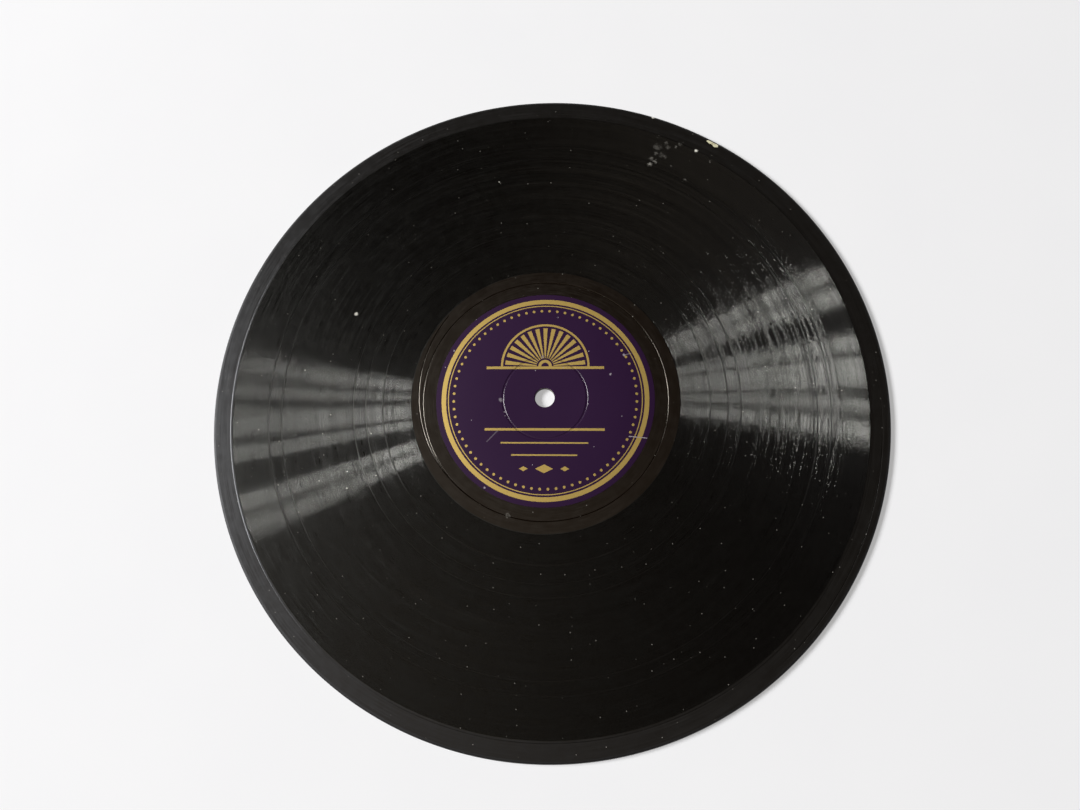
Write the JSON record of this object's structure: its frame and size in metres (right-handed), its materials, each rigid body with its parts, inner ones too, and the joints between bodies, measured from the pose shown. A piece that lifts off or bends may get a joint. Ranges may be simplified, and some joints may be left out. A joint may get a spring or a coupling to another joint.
{
  "type": "shellac record",
  "caption": "Round double-sided gramophone record with a fine groove on both faces, round paper labels and a centre hole that locates it on a turntable's spindle.",
  "frame": {"origin": "on the axis of the spindle hole, in the plane that the back face lies on", "axes": "+Z along the hole's axis out of the front face, +Y towards the top of the front label"},
  "size_m": [0.25, 0.25, 0.0021],
  "materials": {
    "core": "coarse dull black-brown filler",
    "inner_paper": "cream paper",
    "shellac": "pressed black shellac, finely grooved, worn gloss",
    "label": "purple paper printed in gold"
  },
  "bodies": {
    "root": {"core": "core", "front_paper": "inner_paper", "back_paper": "inner_paper", "front_surface": "shellac", "back_surface": "shellac", "front_label": "label", "back_label": "label"}
  },
  "joints": []
}
